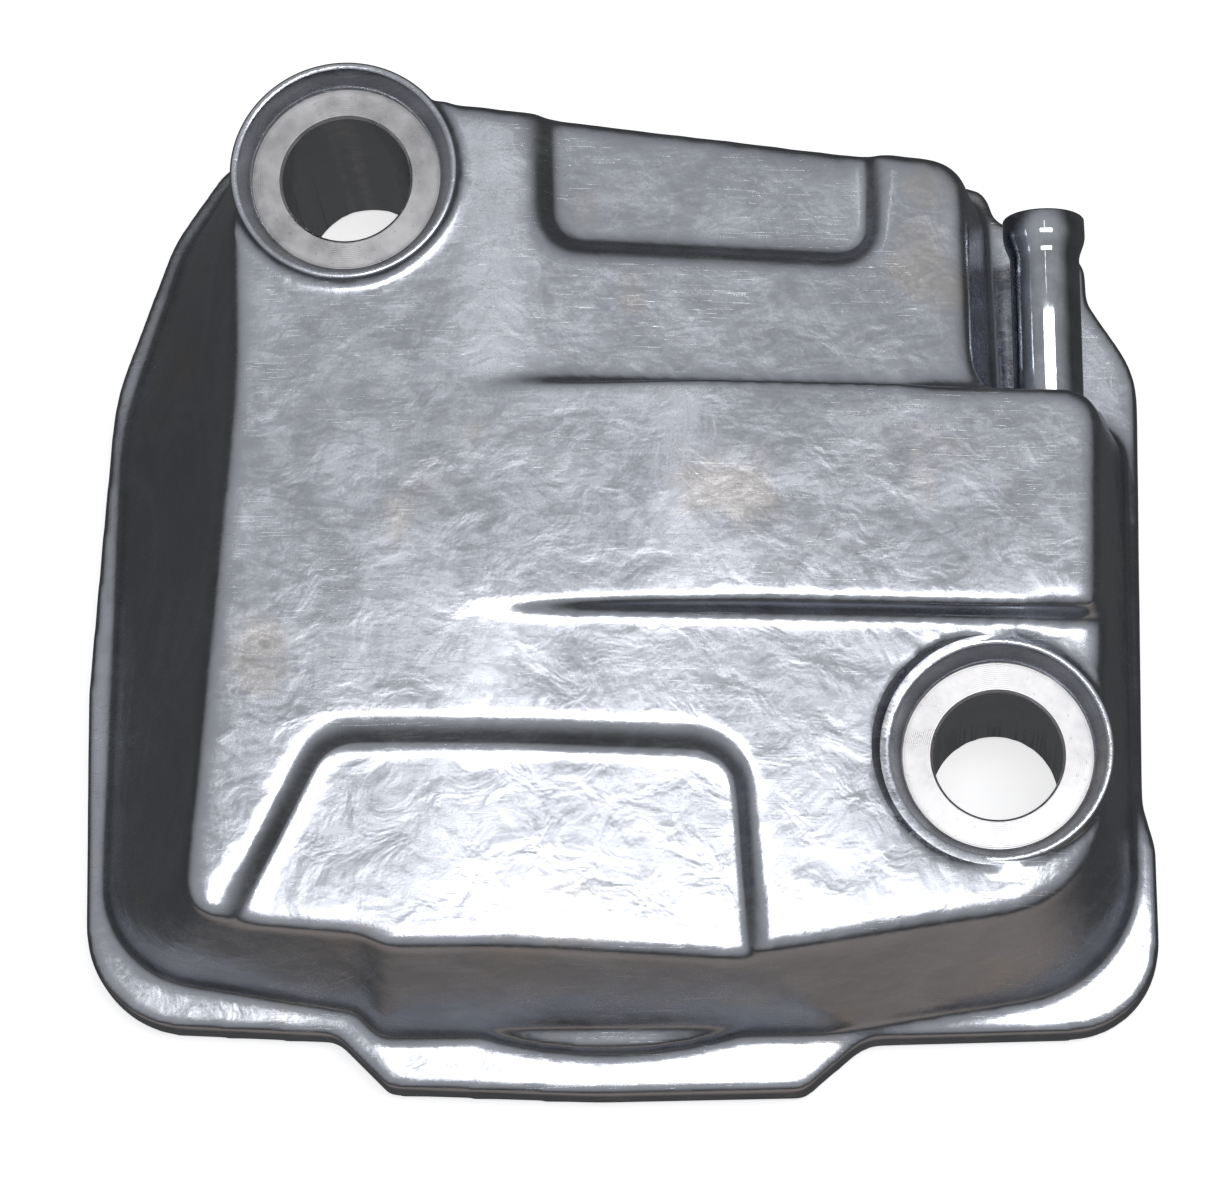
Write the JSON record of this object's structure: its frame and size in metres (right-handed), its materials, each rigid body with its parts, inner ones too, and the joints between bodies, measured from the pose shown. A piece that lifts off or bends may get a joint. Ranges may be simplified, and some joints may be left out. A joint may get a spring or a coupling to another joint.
{
  "type": "cylinder head cover",
  "caption": "Die-cast cylinder head cover of a small engine, with two bolt seats, a raised breather band, a pressed-in breather tube and a reed valve inside.",
  "frame": {"origin": "centre of the cover's box, on the gasket plane", "axes": "+Z from the gasket plane up to the roof, +Y the way the breather tube points, +X towards the low bolt seat"},
  "size_m": [0.123, 0.114, 0.037],
  "materials": {
    "cast_aluminium": "tumbled die casting",
    "seal_rubber": "moulded",
    "plated_steel": "bright plated",
    "pressed_steel": "pressed, oiled",
    "gasket_sheet": "fibre sheet",
    "zinc_steel": "zinc plated",
    "spring_steel": "blued strip",
    "wire_mesh": "knitted wire",
    "rivet_aluminium": "plain",
    "tube_brass": "plain"
  },
  "bodies": {
    "cover": {"cover_casting": "cast_aluminium", "cover_gasket": "seal_rubber", "breather_tube": "plated_steel", "floor_plate": "pressed_steel", "floor_gasket": "gasket_sheet", "floor_screws": "zinc_steel", "floor_washers": "zinc_steel", "reed_root": "spring_steel", "reed_stop": "pressed_steel", "reed_screw": "zinc_steel", "reed_nut": "zinc_steel", "mesh_holder": "pressed_steel", "separator_mesh": "wire_mesh", "holder_rivets": "rivet_aluminium", "splash_shield": "pressed_steel", "shield_rivets": "rivet_aluminium", "oil_drain_tube": "tube_brass"},
    "reed": {"reed_petal": "spring_steel"}
  },
  "joints": [
    {"name": "reed_lift", "type": "hinge", "parent": "cover", "child": "reed", "pos_m": [0.016, 0.0056, 0.0104], "axis": [0, 1, 0], "range_deg": [0, 10], "stiffness_Nm_per_rad": 0.002}
  ]
}
